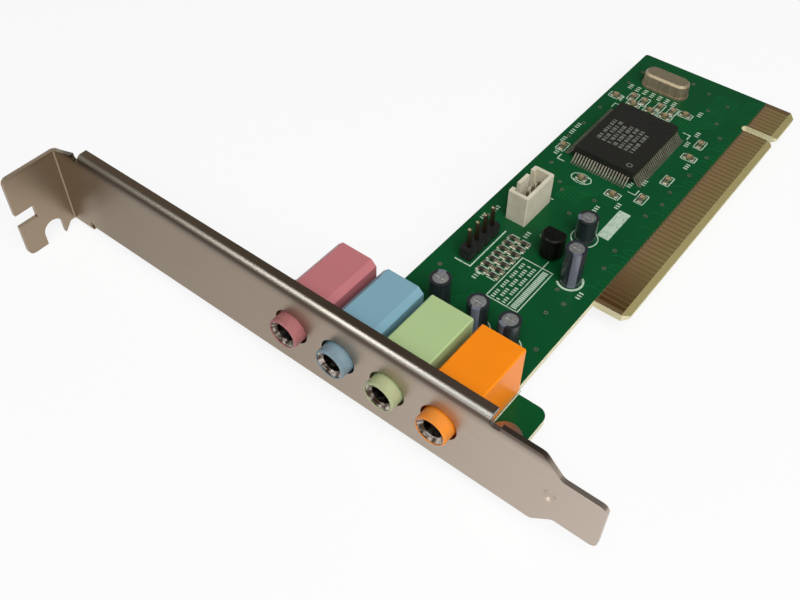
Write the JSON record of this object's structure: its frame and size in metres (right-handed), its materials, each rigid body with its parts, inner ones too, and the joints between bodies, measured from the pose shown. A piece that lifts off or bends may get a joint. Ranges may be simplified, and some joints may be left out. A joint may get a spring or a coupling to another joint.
{
  "type": "pci sound card",
  "caption": "Low expansion card with a plated edge connector, a folded steel bracket with a screw tab, colour-coded audio jacks, a flat-pack controller and small board parts.",
  "frame": {"origin": "middle of the key slot on the mating edge, at half the board's thickness", "axes": "+X from the bracket towards the board's far end, +Y from the mating edge towards the screw tab, +Z out of the component side"},
  "size_m": [0.1302, 0.12, 0.0214],
  "materials": {
    "board": "green solder mask, glossy",
    "contacts": "thin gold plate",
    "bracket_steel": "nickel-plated sheet, satin",
    "screw_steel": "zinc plate",
    "orange_plastic": "moulded, semi-gloss",
    "green_plastic": "moulded, semi-gloss",
    "blue_plastic": "moulded, semi-gloss",
    "pink_plastic": "moulded, semi-gloss",
    "nickel": "nickel plate",
    "phosphor_bronze": "tinned spring strip",
    "black_epoxy": "fine matt moulding",
    "tin": "tin plate",
    "can_steel": "drawn steel, nickel plate",
    "white_nylon": "natural nylon",
    "black_nylon": "moulded",
    "pin_plate": "gold flash",
    "aluminium": "drawn can",
    "sleeve": "shrunk film",
    "resistor_black": "printed ceramic",
    "ceramic_tan": "ceramic",
    "solder": "solder"
  },
  "bodies": {
    "root": {"circuit_board": "board", "component_side_fingers": "contacts", "solder_side_fingers": "contacts", "bracket": "bracket_steel", "bracket_lugs": "bracket_steel", "lug_screws": "screw_steel", "orange_jack_housing": "orange_plastic", "orange_jack_bush": "nickel", "orange_jack_tip_spring": "phosphor_bronze", "orange_jack_tip_switch": "phosphor_bronze", "orange_jack_ring_spring": "phosphor_bronze", "orange_jack_ring_switch": "phosphor_bronze", "green_jack_housing": "green_plastic", "green_jack_bush": "nickel", "green_jack_tip_spring": "phosphor_bronze", "green_jack_tip_switch": "phosphor_bronze", "green_jack_ring_spring": "phosphor_bronze", "green_jack_ring_switch": "phosphor_bronze", "blue_jack_housing": "blue_plastic", "blue_jack_bush": "nickel", "blue_jack_tip_spring": "phosphor_bronze", "blue_jack_tip_switch": "phosphor_bronze", "blue_jack_ring_spring": "phosphor_bronze", "blue_jack_ring_switch": "phosphor_bronze", "pink_jack_housing": "pink_plastic", "pink_jack_bush": "nickel", "pink_jack_tip_spring": "phosphor_bronze", "pink_jack_tip_switch": "phosphor_bronze", "pink_jack_ring_spring": "phosphor_bronze", "pink_jack_ring_switch": "phosphor_bronze", "controller_chip": "black_epoxy", "controller_leads": "tin", "crystal_can": "can_steel", "crystal_base": "can_steel", "audio_socket": "white_nylon", "audio_socket_pins": "tin", "pin_header": "black_nylon", "pin_header_pins": "pin_plate", "capacitor_1_can": "aluminium", "capacitor_1_sleeve": "sleeve", "capacitor_2_can": "aluminium", "capacitor_2_sleeve": "sleeve", "capacitor_3_can": "aluminium", "capacitor_3_sleeve": "sleeve", "capacitor_4_can": "aluminium", "capacitor_4_sleeve": "sleeve", "capacitor_5_can": "aluminium", "capacitor_5_sleeve": "sleeve", "regulator_body": "black_epoxy", "regulator_leads": "tin", "chip_resistors": "resistor_black", "chip_capacitors": "ceramic_tan", "chip_terminals": "tin", "solder_joints": "solder"}
  },
  "joints": []
}
